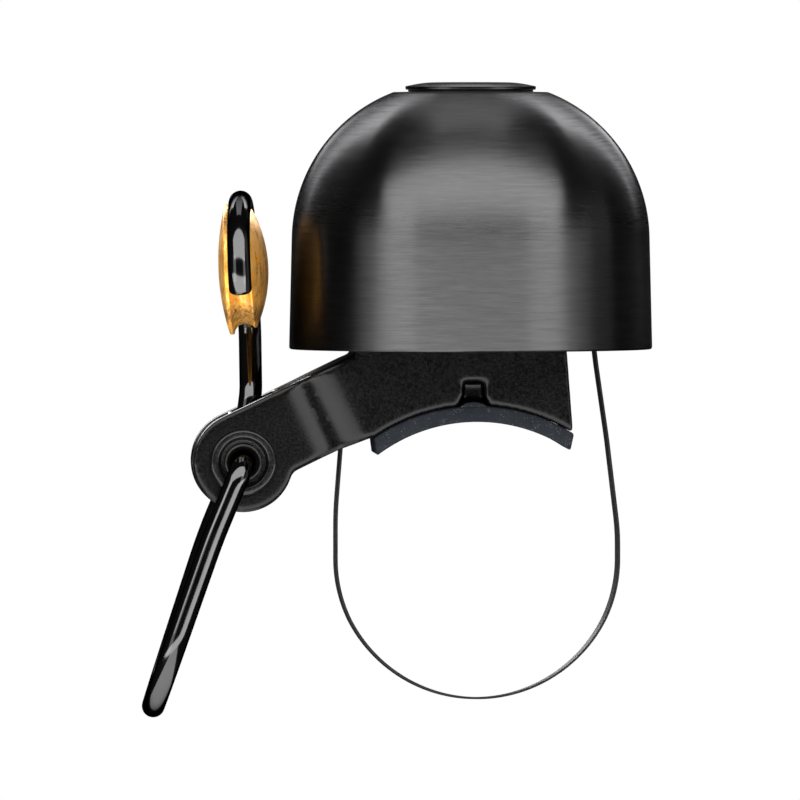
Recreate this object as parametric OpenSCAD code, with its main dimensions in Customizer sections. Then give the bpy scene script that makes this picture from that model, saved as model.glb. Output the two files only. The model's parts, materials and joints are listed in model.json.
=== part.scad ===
// Small handlebar bell: a brushed dome on a cast bracket, held by a thin steel strap,
// rung by a sprung wire striker that carries a brass disc.
// Millimetres. The origin is the centre of the handlebar. X runs from the striker to
// the dome, Y runs along the handlebar away from the viewer, Z is up.

/* [Handlebar and strap] */
// radius of the handlebar that the strap closes round
bar_r = 12.7; // [11:0.1:16]
// width of the strap along the handlebar
strap_w = 7; // [5:0.5:10]
// thickness of the strap
strap_t = 0.22; // [0.16:0.02:0.4]
// lean of the strap's screw side
strap_lean = 6.83; // [0:0.1:12]

/* [Dome] */
// place of the dome's axis along X
dome_x = -0.54; // [-3:0.01:3]
// outer radius at the rim
dome_r = 16.7; // [14:0.1:24]
// height of the rim above the handlebar's axis
rim_z = 19.3; // [16:0.1:24]
// height of the crown above the handlebar's axis
crown_z = 42.95; // [36:0.05:60]
// thickness of the dome's wall
dome_t = 1.4; // [0.8:0.1:3]
// radius of the round shoulder
shoulder_r = 14.56; // [8:0.01:20]
// radius of the low cap on the crown
cap_r = 6; // [4:0.1:9]

/* [Bracket] */
// width of the saddle along the handlebar
saddle_w = 14; // [10:0.5:20]
// width over the two ears
ear_w = 10; // [8:0.5:14]
// width of the gap between the ears
fork_w = 6.4; // [5:0.1:9]
// radius of each ear
ear_r = 4.6; // [3.5:0.1:7]
// slope of the arm that carries the ears, in degrees
arm_a = 25.4; // [0:0.1:45]
// place of the pivot along X
pivot_x = -21.6; // [-30:0.1:-18]
// height of the pivot above the handlebar's axis
pivot_z = 9; // [4:0.1:14]

/* [Striker] */
// radius of the wire
wire_r = 1.05; // [0.8:0.05:1.5]
// place of the ring's centre along X
ring_x = -21.45; // [-26:0.05:-20]
// height of the ring's centre
ring_z = 26.7; // [22:0.1:32]
// radius of the ring to the middle of the wire
ring_r = 6.15; // [5:0.05:9]
// length of the lever below the pivot
lever_len = 23.93; // [15:0.01:32]
// angle of the lever from straight down
lever_a = 19.9; // [0:0.1:45]
// half the width of the lever, to the middle of the wire
lever_y = 7.2; // [6.8:0.1:10]

/* [Hidden] */
$fn = 96;

far = 60;
eps = 0.01;
// arcs are this much slimmer than the straight runs, and the runs lap over their ends
slim = 0.012;
lap = 0.04;
pivot = [pivot_x, 0, pivot_z];

// dome
shoulder_x = 1.9;
shoulder_z = 29.34;
bore_crown_r = 3;
ceiling_z = crown_z - dome_t;

// crown stack
gasket_t = 0.2;
gasket_r = 5.75;
cap_edge = 0.32;
cap_rise = 0.36;
cap_flat_r = 3.5;
cap_drive_r = 1.75;
stud_r = 1.95;
stud_len = 11;
bush_flange_r = 5;
bush_flange_t = 1.2;
bush_neck_r = 2.9;
washer_r = 4.6;
washer_t = 0.7;
post_top = ceiling_z - bush_flange_t - washer_t;
post_r = 3.6;
insert_r = 2.6;
insert_len = 8;

// saddle
saddle_x = -0.2;
saddle_z = -2.47;
pad_r = 15.2;
pad_t = 1.5;
pad_w = 14.2;
body_left = -11.44;
body_right = 6;
body_top = 29;
block_top = 19.55;
notch_x = -0.5;
notch_z = 16.46;
notch_w = 2.05;
notch_deep = 3;
neck_a = 26.1;
neck_w = 2.83;
neck_r = 0.8;
neck_s = sqrt(pow(ear_r + neck_r, 2) - pow(neck_w + neck_r, 2));
fork_s = 5.5;
ear_top_x = pivot_x - ear_r * sin(arm_a);
ear_top_z = pivot_z + ear_r * cos(arm_a);
arm_end_x = -12.2;
collar_r = 5;
collar_h = 2.4;
pocket_x = -14.75;
pocket_z = 5;
pocket_len = 3.2;
pocket_h = 9.9;
pocket_gap = 0.4;

// side step between the ears and the saddle
step_start = 5.9;
step_mid = 8.2;
step_end = 11.6;
step_h = (saddle_w - ear_w) / 2;
step_half = atan(step_h / (step_end - step_start));
step_a = 2 * step_half;
step_r1 = (step_mid - step_start) / sin(step_a);
step_r2 = (step_end - step_mid) / sin(step_a);

// bearings
ear_bore_r = 2.5;
bush_flange = 3;
bush_face = 5.6;
bush_mouth_r = 2.15;
bush_mouth_deep = 0.9;
bush_edge = 0.15;
liner_r = 1.7;
liner_face = 5.35;
liner_bore_r = wire_r + 0.05;
liner_mouth_r = 1.5;
sleeve_r = 1.5;

// strap
strap_mid = bar_r + strap_t / 2;
right_start = 1.4;
right_bend = 20;
right_x = strap_mid - right_bend * (1 - cos(strap_lean));
right_z = right_start + right_bend * sin(strap_lean);
barrel_r = 1.8;
barrel_len = 8;
wrap_r = barrel_r + 0.02;
wrap_mid = wrap_r + strap_t / 2;
barrel_run = 19.4;
left_start = 3;
left_bend = 35;
left_lean = 4.5;
left_x = -strap_mid + left_bend * (1 - cos(left_lean));
left_z = left_start + left_bend * sin(left_lean);
left_run = 7.2;
pin_r = 1;
pin_len = 9.85;
pin_front = 5.1;
pin_hole_len = 12.8;
hook_r = pin_r + 0.02;
hook_mid = hook_r + strap_t / 2;
pin_x = left_x + left_run * sin(left_lean) - hook_mid * cos(left_lean);
pin_z = left_z + left_run * cos(left_lean) + hook_mid * sin(left_lean);
barrel_x = right_x - barrel_run * sin(strap_lean) - wrap_mid * cos(strap_lean);
barrel_z = right_z + barrel_run * cos(strap_lean) - wrap_mid * sin(strap_lean);

// strap screw, measured along its axis from the barrel's centre
screw_r = 1.2;
lug_low = 4.4;
lug_high = 7;
lug_w = 7.2;
lug_len = 7;
lug_back = 4;
tension_washer_t = 0.4;
screw_head_r = 2.2;
screw_head_t = 2.3;
screw_tip = 2.6;
screw_drive_r = 1.15;
screw_drive_deep = 1.4;
screw_head_low = lug_high + tension_washer_t;
tension_washer_r = 2.6;

// striker
ring_yaw = 5;
ring_tilt = 2.4;
ring_front = [-sin(ring_yaw), -cos(ring_yaw), 0];
ring_lean = [-sin(ring_tilt), 0, cos(ring_tilt)];
ring_up = unit(ring_lean - (ring_lean * ring_front) * ring_front);
ring_centre = [ring_x, 0, ring_z];
ring_sweep = 200;
arm_y = 1.9;
arm_bend = 2.6;
turn_bend = 1.8;
leg_bend = 2;
tip_bend = lever_y - 0.05;
wire_end_y = 3.15;
ring_rear = ring_centre - ring_r * ring_front;
arm_knee = ring_rear - 6.2 * ring_up;
arm_foot = [pivot_x + 0.9, arm_y, pivot_z + 6.3];
lever_tip = pivot + lever_len * [-sin(lever_a), 0, -cos(lever_a)];
// the lever's legs bow a little, and its two sides are a little out of line at the tip
lever_bow = pivot + [-2.9, 0, -7];
bow_bend = 60;
leg_side = [0, lever_y, 0];
tip_side = [0.2, lever_y, 0];
wire_path = [ring_rear, arm_knee, arm_foot, pivot + [0, arm_y, 0],
    pivot - leg_side, lever_bow - leg_side, lever_tip - tip_side, lever_tip + tip_side,
    lever_bow + leg_side, pivot + leg_side, pivot + [0, wire_end_y, 0]];
wire_bends = [0, arm_bend, arm_bend, turn_bend, leg_bend, bow_bend, tip_bend, tip_bend,
    bow_bend, leg_bend, 0];

groove_r = 1.1;
head_left = 2.26;
head_right = 2.29;
flange_left_r = 6;
flange_right_r = 5.45;
face_left_r = 21.85;
face_right_r = 12.16;

// return spring
spring_wire_r = 0.25;
spring_r = 1.9;
spring_pitch = 0.66;
spring_y = -2.75;
spring_turns = 3;
spring_tail = 6.3;
coil_step = 18;
coil_turn = 360 * spring_turns + 90 + arm_a;
hook_turn = pivot + [-1.01, -0.4, 4.3];
hook_reach = 3.5;
hook_bend = 0.6;
spring_sides = 8;
tail_hole_r = 0.32;

// ---------- helpers ----------

function unit(v) = v / norm(v);
function frame_at(u, v, w, p) = [[u[0], v[0], w[0], p[0]], [u[1], v[1], w[1], p[1]],
    [u[2], v[2], w[2], p[2]], [0, 0, 0, 1]];
function any_across(d) = abs(d[1]) < 0.9 ? unit(cross([0, 1, 0], d)) : unit(cross([0, 0, 1], d));
function turn(a, b) = acos(min(1, max(-1, a * b)));
function trim(p, bends, i) = bends[i] == 0 ? 0
    : bends[i] * tan(turn(unit(p[i] - p[i - 1]), unit(p[i + 1] - p[i])) / 2);

module flat(width) rotate([90, 0, 0]) linear_extrude(height = width, center = true) children();

module rod(a, b, r) {
    d = unit(b - a);
    u = any_across(d);
    multmatrix(frame_at(u, cross(d, u), d, a)) cylinder(r = r, h = norm(b - a));
}

module elbow(before, at, after, bend, r) {
    d1 = unit(at - before);
    d2 = unit(after - at);
    angle = turn(d1, d2);
    k = unit(cross(d1, d2));
    start = at - bend * tan(angle / 2) * d1;
    out = cross(d1, k);
    multmatrix(frame_at(out, d1, k, start - bend * out))
        rotate_extrude(angle = angle) translate([bend, 0]) circle(r = r - slim);
}

module bent_wire(p, bends, r) {
    last = len(p) - 1;
    for (i = [0 : last - 1]) {
        d = unit(p[i + 1] - p[i]);
        rod(p[i] + (trim(p, bends, i) - lap) * d, p[i + 1] - (trim(p, bends, i + 1) - lap) * d, r);
    }
    for (i = [1 : last - 1]) elbow(p[i - 1], p[i], p[i + 1], bends[i], r);
}

module at_dome() translate([dome_x, 0, 0]) children();
module at_pivot() translate(pivot) children();
module along_arm() at_pivot() rotate([0, -arm_a, 0]) children();
module at_barrel() translate([barrel_x, 0, barrel_z]) rotate([0, -strap_lean, 0]) children();
module facing_front(y) translate([pivot_x, y, pivot_z]) rotate([90, 0, 0]) children();

// ---------- dome and crown ----------

module dome_shape(t) {
    base_r = dome_r - t;
    neck_r = shoulder_x + shoulder_r - t;
    intersection() {
        union() {
            translate([shoulder_x, shoulder_z]) circle(r = shoulder_r - t);
            polygon([[0, rim_z - 2 * t], [base_r - 0.25, rim_z - 2 * t],
                [base_r, rim_z + 0.25 - 2 * t], [neck_r, shoulder_z], [0, shoulder_z]]);
            translate([0, shoulder_z - eps]) square([shoulder_x, shoulder_r - t]);
        }
        translate([0, rim_z - 2 * t]) square([far, crown_z - rim_z + t]);
    }
}

module bell_dome() color([0.1, 0.1, 0.11]) at_dome() difference() {
    rotate_extrude() dome_shape(0);
    rotate_extrude() dome_shape(dome_t);
    translate([0, 0, ceiling_z - 1]) cylinder(r = bore_crown_r, h = dome_t + 2);
}

module crown_cap() color([0.08, 0.08, 0.09]) at_dome() difference() {
    union() {
        translate([0, 0, crown_z + gasket_t]) cylinder(r = cap_r, h = cap_edge);
        translate([0, 0, crown_z + gasket_t + cap_edge])
            cylinder(r1 = cap_r, r2 = cap_flat_r, h = cap_rise);
        translate([0, 0, crown_z + gasket_t - stud_len]) cylinder(r = stud_r, h = stud_len + eps);
    }
    translate([0, 0, crown_z + gasket_t - 0.5]) cylinder(r = cap_drive_r, h = 4, $fn = 6);
}

module crown_gasket() color([0.03, 0.03, 0.03]) at_dome() translate([0, 0, crown_z]) difference() {
    cylinder(r = gasket_r, h = gasket_t);
    translate([0, 0, -1]) cylinder(r = stud_r + 0.1, h = 2);
}

module crown_bush() color([0.2, 0.2, 0.2]) at_dome() difference() {
    union() {
        translate([0, 0, ceiling_z - bush_flange_t]) cylinder(r = bush_flange_r, h = bush_flange_t);
        translate([0, 0, ceiling_z - eps]) cylinder(r = bush_neck_r, h = dome_t - 0.1);
    }
    translate([0, 0, ceiling_z - 3]) cylinder(r = stud_r + 0.1, h = 6);
}

module crown_washer() color([0.6, 0.6, 0.62]) at_dome() translate([0, 0, post_top]) difference() {
    cylinder(r = washer_r, h = washer_t);
    translate([0, 0, -1]) cylinder(r = stud_r + 0.1, h = 3);
}

// ---------- bracket ----------

module body_side() {
    difference() {
        union() {
            translate([pivot_x, pivot_z]) circle(r = ear_r);
            polygon([[ear_top_x, ear_top_z], [arm_end_x, ear_top_z + (arm_end_x - ear_top_x) * tan(arm_a)],
                [body_left, 18.85], [body_left, 22.5], [-7, body_top], [body_right, body_top],
                [body_right, block_top], [8.03, block_top], [8.6, 11.95], [8.6, 8], [-9, 8],
                [-9.6, 11.39], [-12.74, 10.19], [-15.68, 8.75], [-17.17, 8.02],
                [pivot_x, pivot_z]]);
            neck_fillet();
        }
        translate([saddle_x, saddle_z]) circle(r = pad_r + pad_t);
    }
}

module neck_fillet() translate([pivot_x, pivot_z]) rotate(neck_a) difference() {
    polygon([[neck_s - 0.7, -neck_w + 0.15], [neck_s, -neck_w + 0.15], [neck_s, -neck_w - neck_r],
        [neck_s * ear_r / (ear_r + neck_r), -(neck_w + neck_r) * ear_r / (ear_r + neck_r)]]);
    translate([neck_s, -neck_w - neck_r]) circle(r = neck_r);
}

module notch_shape() {
    translate([notch_x - notch_w / 2, 12]) square([notch_w, notch_z - 12]);
    polygon([[notch_x - notch_w / 2 - 0.55, 14], [notch_x + notch_w / 2 + 0.55, 14],
        [notch_x + notch_w / 2, 15.1], [notch_x - notch_w / 2, 15.1]]);
}

// the curved side of the step: hollow out of the ears, rounded into the saddle
module step_curve() intersection() {
    translate([step_start, 0]) square([step_end - step_start, saddle_w / 2]);
    union() {
        translate([step_end, saddle_w / 2 - step_r2]) circle(r = step_r2);
        difference() {
            square([step_mid, ear_w / 2 + step_r1 * (1 - cos(step_a))]);
            translate([step_start, ear_w / 2 + step_r1]) circle(r = step_r1);
        }
        translate([step_mid, 0]) square([step_end - step_mid, ear_w / 2]);
    }
}

// half of the body's plan, seen square to the arm: X along the arm, Y to one side
module half_plan() {
    translate([-far, 0]) square([far + step_mid, ear_w / 2]);
    step_curve();
    translate([step_end - eps, 0]) square([far, saddle_w / 2]);
}

module step_plan() {
    half_plan();
    mirror([0, 1]) half_plan();
}

module mount_body() color([0.07, 0.07, 0.075]) difference() {
    union() {
        intersection() {
            flat(saddle_w) body_side();
            along_arm() translate([0, 0, -far]) linear_extrude(height = 2 * far) step_plan();
        }
        at_dome() translate([0, 0, body_top - 2]) cylinder(r = post_r, h = post_top - body_top + 2);
        at_dome() translate([0, 0, body_top - eps]) cylinder(r1 = collar_r, r2 = post_r, h = collar_h);
        at_barrel() translate([-lug_back, -lug_w / 2, lug_low])
            cube([lug_len, lug_w, lug_high - lug_low]);
    }
    // locating notches for the pad, one in each face
    translate([0, -saddle_w / 2, 0]) flat(2 * notch_deep) notch_shape();
    translate([0, saddle_w / 2, 0]) flat(2 * notch_deep) notch_shape();
    // gap between the ears
    along_arm() translate([-12, -fork_w / 2, -14]) cube([12 + fork_s, fork_w, 28]);
    // bearing bores
    flat(3 * ear_w) translate([pivot_x, pivot_z]) circle(r = ear_bore_r);
    // pocket for the strap's hook, and the pin across it
    translate([pocket_x, -strap_w / 2 - pocket_gap, pocket_z])
        cube([pocket_len, strap_w + 2 * pocket_gap, pocket_h]);
    translate([pin_x, saddle_w / 2 + 1, pin_z]) rotate([90, 0, 0]) cylinder(r = pin_r, h = pin_hole_len);
    // hole for the spring's fixed tail
    along_arm() translate([3, spring_y, -spring_r]) rotate([0, 90, 0]) cylinder(r = tail_hole_r, h = 3.5);
    // screw hole in the lug
    at_barrel() translate([0, 0, 2]) cylinder(r = screw_r + 0.15, h = 8);
    // seat of the threaded insert
    at_dome() translate([0, 0, post_top - insert_len]) cylinder(r = insert_r, h = insert_len + 2);
    at_dome() translate([0, 0, post_top - insert_len - 3]) cylinder(r = stud_r + 0.1, h = 4);
}

module post_insert() color([0.78, 0.6, 0.28]) at_dome() difference() {
    translate([0, 0, post_top - insert_len]) cylinder(r = insert_r, h = insert_len);
    translate([0, 0, post_top - insert_len - 1]) cylinder(r = stud_r + 0.05, h = insert_len + 2);
}

module saddle_pad() color([0.1, 0.12, 0.14]) {
    flat(pad_w) difference() {
        intersection() {
            translate([saddle_x, saddle_z]) circle(r = pad_r + pad_t);
            polygon([[-9.42, 9], [8.36, 9], [8.72, 11.68], [8.72, 20], [-9.66, 20], [-9.66, 11.4]]);
        }
        translate([saddle_x, saddle_z]) circle(r = pad_r);
    }
    for (side = [-1, 1]) translate([notch_x, side * (pad_w / 2 - 1.3), 0]) flat(2.6)
        polygon([[-1.35, 14], [1.35, 14], [0.85, 14.62], [-0.85, 14.62]]);
}

// ---------- strap ----------

module strap_arc(r, angle) rotate([90, 0, 0]) rotate_extrude(angle = angle)
    translate([r, 0]) square([strap_t - slim, strap_w - slim], center = true);

module strap_run(len) translate([-strap_t / 2, -strap_w / 2, -lap])
    cube([strap_t, strap_w, len + 2 * lap]);

module strap_band() color([0.16, 0.16, 0.17]) difference() {
    union() {
        rotate([0, 180, 0]) strap_arc(strap_mid, 180);
        translate([strap_mid, 0, 0]) strap_run(right_start);
        translate([strap_mid - right_bend, 0, right_start]) strap_arc(right_bend, strap_lean);
        translate([right_x, 0, right_z]) rotate([0, -strap_lean, 0]) strap_run(barrel_run);
        at_barrel() strap_arc(wrap_mid, 225);
        translate([-strap_mid, 0, 0]) strap_run(left_start);
        translate([-strap_mid + left_bend, 0, left_start]) rotate([0, 180 + left_lean, 0])
            strap_arc(left_bend, left_lean);
        translate([left_x, 0, left_z]) rotate([0, left_lean, 0]) strap_run(left_run);
        translate([pin_x, 0, pin_z]) rotate([0, left_lean, 0]) strap_arc(hook_mid, 215);
    }
    at_barrel() translate([0, 0, 0.5]) cylinder(r = screw_r + 0.35, h = 6);
}

module anchor_pin() color([0.62, 0.62, 0.64])
    translate([pin_x, pin_front, pin_z]) rotate([90, 0, 0]) cylinder(r = pin_r - 0.01, h = pin_len);

module strap_barrel() color([0.62, 0.62, 0.64]) at_barrel() difference() {
    translate([0, barrel_len / 2, 0]) rotate([90, 0, 0]) cylinder(r = barrel_r, h = barrel_len);
    translate([0, 0, -4]) cylinder(r = screw_r + 0.05, h = 8);
}

module tension_screw() color([0.25, 0.25, 0.26]) at_barrel() difference() {
    union() {
        translate([0, 0, -screw_tip]) cylinder(r = screw_r, h = screw_tip + screw_head_low + 1);
        translate([0, 0, screw_head_low]) cylinder(r = screw_head_r, h = screw_head_t);
    }
    translate([0, 0, screw_head_low + screw_head_t - screw_drive_deep])
        cylinder(r = screw_drive_r, h = screw_drive_deep + 1, $fn = 6);
}

module tension_washer() color([0.6, 0.6, 0.62]) at_barrel() translate([0, 0, lug_high]) difference() {
    cylinder(r = tension_washer_r, h = tension_washer_t);
    translate([0, 0, -1]) cylinder(r = screw_r + 0.1, h = 3);
}

// ---------- bearings ----------

module bush() rotate([90, 0, 0]) difference() {
    union() {
        translate([0, 0, fork_w / 2 + 0.1]) cylinder(r = ear_bore_r - 0.02, h = ear_w / 2 - fork_w / 2);
        translate([0, 0, ear_w / 2]) cylinder(r = bush_flange, h = bush_face - ear_w / 2 - bush_edge);
        translate([0, 0, bush_face - bush_edge - eps])
            cylinder(r1 = bush_flange, r2 = bush_flange - bush_edge, h = bush_edge + eps);
    }
    cylinder(r = liner_r, h = 10);
    translate([0, 0, bush_face - bush_mouth_deep]) cylinder(r = bush_mouth_r, h = 3);
    translate([0, 0, bush_face - 0.2]) cylinder(r1 = bush_mouth_r, r2 = bush_mouth_r + 0.25, h = 0.25);
}

module liner() rotate([90, 0, 0]) difference() {
    translate([0, 0, fork_w / 2]) cylinder(r = liner_r - 0.01, h = liner_face - fork_w / 2);
    cylinder(r = liner_bore_r, h = 10);
    translate([0, 0, liner_face - 0.6]) cylinder(r1 = liner_bore_r, r2 = liner_mouth_r, h = 0.65);
}

module bush_front() color([0.09, 0.09, 0.09]) at_pivot() bush();
module bush_rear() color([0.09, 0.09, 0.09]) at_pivot() mirror([0, 1, 0]) bush();
module liner_front() color([0.35, 0.3, 0.2]) at_pivot() liner();
module liner_rear() color([0.35, 0.3, 0.2]) at_pivot() mirror([0, 1, 0]) liner();

// ---------- striker ----------

module at_ring()
    multmatrix(frame_at(-ring_front, ring_up, cross(-ring_front, ring_up), ring_centre)) children();

module striker_wire() color([0.03, 0.03, 0.03]) {
    at_ring() rotate_extrude(angle = ring_sweep) translate([ring_r, 0]) circle(r = wire_r - slim);
    bent_wire(wire_path, wire_bends, wire_r);
}

// the disc is turned about the ring's own axis; its right face meets the dome
module striker_head() color([0.83, 0.62, 0.25]) at_ring() rotate_extrude() difference() {
    intersection() {
        translate([0, -head_left + face_left_r]) circle(r = face_left_r, $fn = 180);
        translate([0, head_right - face_right_r]) circle(r = face_right_r, $fn = 180);
        polygon([[0, -5], [flange_left_r, -5], [flange_left_r, 0], [flange_right_r, 0],
            [flange_right_r, 5], [0, 5]]);
    }
    translate([ring_r, 0]) circle(r = groove_r);
}

// ---------- return spring ----------

// a point given along the arm, towards the back, and square to the arm
function arm_point(along, y, across) = pivot + [along * cos(arm_a) - across * sin(arm_a), y,
    along * sin(arm_a) + across * cos(arm_a)];
function coil_point(a) =
    arm_point(-spring_r * sin(a), spring_y + spring_pitch * a / 360, -spring_r * cos(a));
function hook_point(a) = hook_turn + hook_bend * [0, 1 + cos(a), sin(a) - 1];
function direction(p, i) = unit(p[min(i + 1, len(p) - 1)] - p[max(i - 1, 0)]);
// a vector square to the route at each point, carried along it without twist
function carried(p, i, n) = i == len(p) ? []
    : let (d = direction(p, i), m = unit(n - (n * d) * d)) concat([m], carried(p, i + 1, m));

function ring_at(p, n, d, r, sides) =
    [for (k = [0 : sides - 1]) p + r * (cos(360 * k / sides) * n + sin(360 * k / sides) * cross(d, n))];
function wall_at(a, b, k, m) = [[a + k, a + m, b + m], [a + k, b + m, b + k]];

// a round wire along a route, with flat ends
module swept(p, r, sides) {
    last = len(p) - 1;
    normals = carried(p, 0, any_across(direction(p, 0)));
    points = [for (i = [0 : last]) each ring_at(p[i], normals[i], direction(p, i), r, sides)];
    walls = [for (i = [0 : last - 1], k = [0 : sides - 1])
        each wall_at(i * sides, (i + 1) * sides, k, (k + 1) % sides)];
    start = [for (k = [0 : sides - 1]) sides - 1 - k];
    end = [for (k = [0 : sides - 1]) last * sides + k];
    polyhedron(points, concat(walls, [start, end]), convexity = 10);
}

module return_spring() color([0.5, 0.5, 0.52]) swept(concat(
    [arm_point(spring_tail, spring_y, -spring_r)],
    [for (a = [0 : coil_step : coil_turn]) coil_point(a)], [coil_point(coil_turn)],
    [for (a = [180 : -30 : 90]) hook_point(a)],
    [hook_turn + [0, hook_reach, 0]]), spring_wire_r, spring_sides);

module spring_sleeve() color([0.85, 0.85, 0.82]) at_pivot() rotate([90, 0, 0]) difference() {
    translate([0, 0, 0.05]) cylinder(r = sleeve_r, h = fork_w / 2 - 0.15);
    translate([0, 0, -1]) cylinder(r = wire_r + 0.05, h = 6);
}

bell_dome();
crown_cap();
crown_gasket();
crown_bush();
crown_washer();
mount_body();
post_insert();
saddle_pad();
strap_band();
anchor_pin();
strap_barrel();
tension_screw();
tension_washer();
bush_front();
bush_rear();
liner_front();
liner_rear();
striker_wire();
striker_head();
return_spring();
spring_sleeve();
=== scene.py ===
"""The looks of a bicycle bell: its visible pieces, procedural materials, light and camera."""

import json
import math

import bmesh
import bpy
from mathutils import Matrix, Vector

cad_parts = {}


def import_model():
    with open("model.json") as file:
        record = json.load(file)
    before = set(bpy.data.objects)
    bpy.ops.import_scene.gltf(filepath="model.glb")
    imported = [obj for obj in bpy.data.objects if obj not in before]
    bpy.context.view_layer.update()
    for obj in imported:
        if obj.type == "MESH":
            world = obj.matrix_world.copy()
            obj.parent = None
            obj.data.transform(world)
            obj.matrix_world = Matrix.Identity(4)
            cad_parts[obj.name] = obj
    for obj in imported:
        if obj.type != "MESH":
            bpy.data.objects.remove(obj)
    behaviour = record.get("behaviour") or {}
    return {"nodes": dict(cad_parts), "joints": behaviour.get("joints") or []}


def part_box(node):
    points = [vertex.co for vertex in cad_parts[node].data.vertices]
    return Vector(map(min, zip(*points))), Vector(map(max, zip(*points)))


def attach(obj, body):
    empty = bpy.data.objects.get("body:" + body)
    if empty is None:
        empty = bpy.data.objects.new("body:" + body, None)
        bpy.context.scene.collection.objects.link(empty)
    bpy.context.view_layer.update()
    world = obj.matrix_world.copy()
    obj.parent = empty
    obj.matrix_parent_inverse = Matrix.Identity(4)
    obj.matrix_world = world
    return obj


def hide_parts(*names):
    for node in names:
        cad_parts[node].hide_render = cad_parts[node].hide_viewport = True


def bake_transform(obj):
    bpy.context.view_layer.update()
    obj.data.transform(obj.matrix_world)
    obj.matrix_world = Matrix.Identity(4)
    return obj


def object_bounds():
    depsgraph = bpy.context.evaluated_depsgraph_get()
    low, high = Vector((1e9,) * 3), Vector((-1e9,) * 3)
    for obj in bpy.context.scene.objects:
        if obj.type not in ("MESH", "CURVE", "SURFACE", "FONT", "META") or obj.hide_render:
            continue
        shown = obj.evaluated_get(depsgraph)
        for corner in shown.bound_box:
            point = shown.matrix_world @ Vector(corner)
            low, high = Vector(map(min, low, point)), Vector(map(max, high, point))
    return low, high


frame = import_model()
CAD_LOW, CAD_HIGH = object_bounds()
MM = 0.001


# ---------------------------------------------------------------- camera

SCENE_CENTRE = Vector((-7.04, 0, 14.62)) * MM
VIEW_WIDTH = 73.57 * MM
SENSOR = 36
# a very long lens, so that there is almost no perspective
LENS = 1180
CAM_AZIMUTH = -2.0
CAM_ELEVATION = 1.1


def towards(azimuth, elevation):
    """A direction out from the bell: azimuth 0 is the front, and it grows to the right."""
    a, e = math.radians(azimuth), math.radians(elevation)
    return Vector((math.sin(a) * math.cos(e), -math.cos(a) * math.cos(e), math.sin(e)))


def make_camera():
    cam = bpy.data.objects.new("camera", bpy.data.cameras.new("camera"))
    bpy.context.scene.collection.objects.link(cam)
    cam.data.lens = LENS
    cam.data.sensor_width = SENSOR
    cam.data.clip_start = 0.01
    cam.data.clip_end = 50
    back = towards(CAM_AZIMUTH, CAM_ELEVATION)
    cam.location = SCENE_CENTRE + back * (VIEW_WIDTH / SENSOR * LENS)
    cam.rotation_mode = "QUATERNION"
    cam.rotation_quaternion = (-back).to_track_quat("-Z", "Y")
    bpy.context.scene.camera = cam


make_camera()


# ---------------------------------------------------------------- mesh helpers

def shade(bm, sharp):
    """Smooth faces, with hard edges where they meet at more than an angle in degrees."""
    for face in bm.faces:
        face.smooth = True
    for edge in bm.edges:
        if len(edge.link_faces) == 2:
            edge.smooth = edge.calc_face_angle(0) < math.radians(sharp)


def finish_mesh(name, bm, body, nodes, sharp=35):
    """Turns a bmesh into a named piece, smooth except at edges sharper than the given angle.

    It rides on the body, or on none if no body is given.
    """
    bmesh.ops.recalc_face_normals(bm, faces=bm.faces)
    shade(bm, sharp)
    mesh = bpy.data.meshes.new(name)
    bm.to_mesh(mesh)
    bm.free()
    piece = bpy.data.objects.new(name, mesh)
    bpy.context.scene.collection.objects.link(piece)
    if body:
        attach(piece, body)
    if nodes:
        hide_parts(*nodes)
    return piece


def rounded(corners, radii, steps):
    """A closed outline with each corner rounded to its own radius."""
    out = []
    count = len(corners)
    for i in range(count):
        p = Vector(corners[i])
        r = radii[i]
        a = Vector(corners[i - 1]) - p
        b = Vector(corners[(i + 1) % count]) - p
        if r <= 0:
            out.append(tuple(p))
            continue
        angle = a.angle(b)
        cut = min(r / math.tan(angle / 2), a.length * 0.49, b.length * 0.49)
        r = cut * math.tan(angle / 2)
        bisector = (a.normalized() + b.normalized()).normalized()
        centre = p + bisector * (r / math.sin(angle / 2))
        start = p + a.normalized() * cut - centre
        end = p + b.normalized() * cut - centre
        for k in range(steps + 1):
            t = k / steps
            mixed = start.normalized().slerp(end.normalized(), t)
            out.append(tuple(centre + mixed * r))
    return out


def swept(t):
    """The sine and cosine of a part t of a quarter turn."""
    return math.sin(math.pi / 2 * t), math.cos(math.pi / 2 * t)


def skin(bm, rings):
    """Joins rings of points one after another with four-sided faces."""
    for a, b in zip(rings, rings[1:]):
        for j in range(len(a)):
            k = (j + 1) % len(a)
            bm.faces.new((a[j], a[k], b[k], b[j]))


def arc(cx, cy, r, a0, a1, steps):
    """Points on an arc, angles in degrees."""
    return [(cx + r * math.cos(math.radians(a0 + (a1 - a0) * k / steps)),
             cy + r * math.sin(math.radians(a0 + (a1 - a0) * k / steps)))
            for k in range(steps + 1)]


def hex_radius(r, angle):
    """The distance to a hexagon's edge, with corners at distance r."""
    return r * math.cos(math.pi / 6) / math.cos((angle % (math.pi / 3)) - math.pi / 6)


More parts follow.
